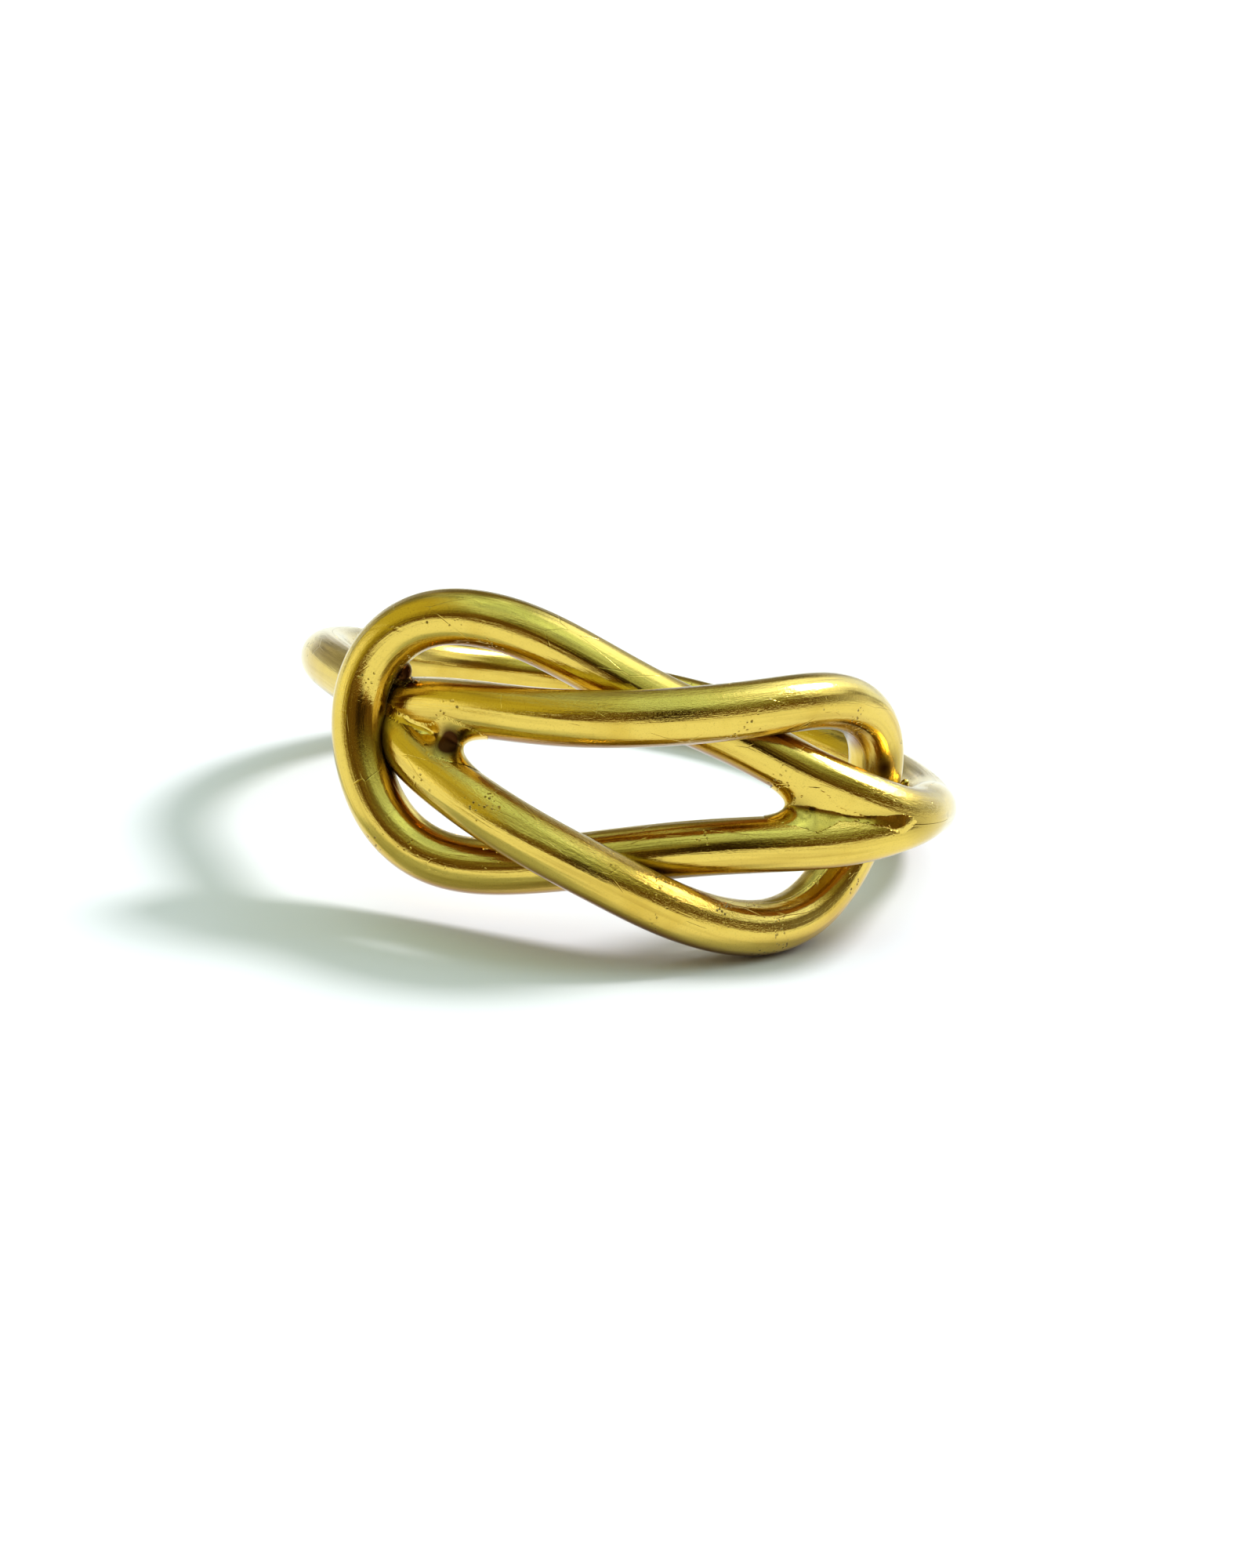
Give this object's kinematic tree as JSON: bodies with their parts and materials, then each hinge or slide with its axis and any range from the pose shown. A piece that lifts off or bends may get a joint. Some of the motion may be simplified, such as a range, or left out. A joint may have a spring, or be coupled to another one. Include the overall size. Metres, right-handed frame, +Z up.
{
  "type": "knot ring",
  "caption": "Finger ring of round gold-coloured wire whose ends fork into two linked loops, tied across the front as an open reef knot.",
  "frame": {"origin": "centre of the bounding box on the table, as the ring lies", "axes": "-Y towards the knot and the viewer, +X to the right along the knot, +Z up; the finger axis leans 8.95 degrees back from +Z and 7.57 degrees to the right"},
  "size_m": [0.0206, 0.023, 0.0093],
  "materials": {
    "wire": "polished, worn, satin on the undersides",
    "solder": "cast, slightly rough"
  },
  "bodies": {
    "root": {"shank": "wire", "left_loop": "wire", "right_loop": "wire", "left_fork_solder": "solder", "right_fork_solder": "solder", "crossing_solder": "solder"}
  },
  "joints": []
}
